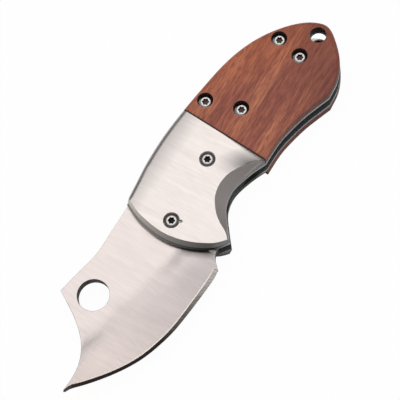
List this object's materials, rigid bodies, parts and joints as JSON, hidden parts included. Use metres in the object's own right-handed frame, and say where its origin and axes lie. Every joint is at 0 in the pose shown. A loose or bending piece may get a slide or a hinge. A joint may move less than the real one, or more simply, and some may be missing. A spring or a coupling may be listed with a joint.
{
  "type": "folding knife",
  "caption": "Folding pocket knife with a hooked blade, round opening hole, steel bolsters, wood scales and a liner lock, shown open.",
  "frame": {"origin": "centre of the open knife's box, on the plane that the knife lies on", "axes": "+X from the blade's tip towards the handle's butt, +Y towards the blade's spine, +Z from the back side to the front side"},
  "size_m": [0.1306, 0.036, 0.0123],
  "materials": {
    "satin_steel": "satin brushed",
    "liner_steel": "smooth",
    "screw_steel": "dark polished",
    "bronze": "smooth",
    "rosewood": "satin, reddish brown"
  },
  "bodies": {
    "handle": {"front_bolster": "satin_steel", "back_bolster": "satin_steel", "front_scale": "rosewood", "back_scale": "rosewood", "front_liner": "liner_steel", "back_liner": "liner_steel", "spine_standoff": "liner_steel", "butt_standoff": "liner_steel", "tail_standoff": "liner_steel", "front_washer": "bronze", "back_washer": "bronze", "stop_pin": "screw_steel", "pivot_barrel": "screw_steel", "pivot_screw": "screw_steel", "front_bolster_screw": "screw_steel", "back_bolster_screw": "screw_steel", "front_scale_screw_spine": "screw_steel", "front_scale_screw_grip": "screw_steel", "front_scale_screw_butt": "screw_steel", "front_scale_screw_tail": "screw_steel", "back_scale_screw_spine": "screw_steel", "back_scale_screw_grip": "screw_steel", "back_scale_screw_butt": "screw_steel", "back_scale_screw_tail": "screw_steel"},
    "blade": {"blade": "satin_steel"},
    "leaf": {"lock_leaf": "liner_steel"}
  },
  "joints": [
    {"name": "blade_fold", "type": "hinge", "parent": "handle", "child": "blade", "pos_m": [-0.00896, 0.00059, 0.00615], "axis": [0, 0, 1], "range_deg": [0, 162.5], "deforming": ["lock_leaf"]},
    {"name": "lock_release", "type": "hinge", "parent": "handle", "child": "leaf", "pos_m": [0.03504, 0.00059, 0.00365], "axis": [0, 1, 0], "range_deg": [-1.73, 0], "deforming": ["lock_leaf"]}
  ],
  "couplings": [
    {"joint": "lock_release", "follows": "blade_fold", "ratio": -0.01063}
  ]
}
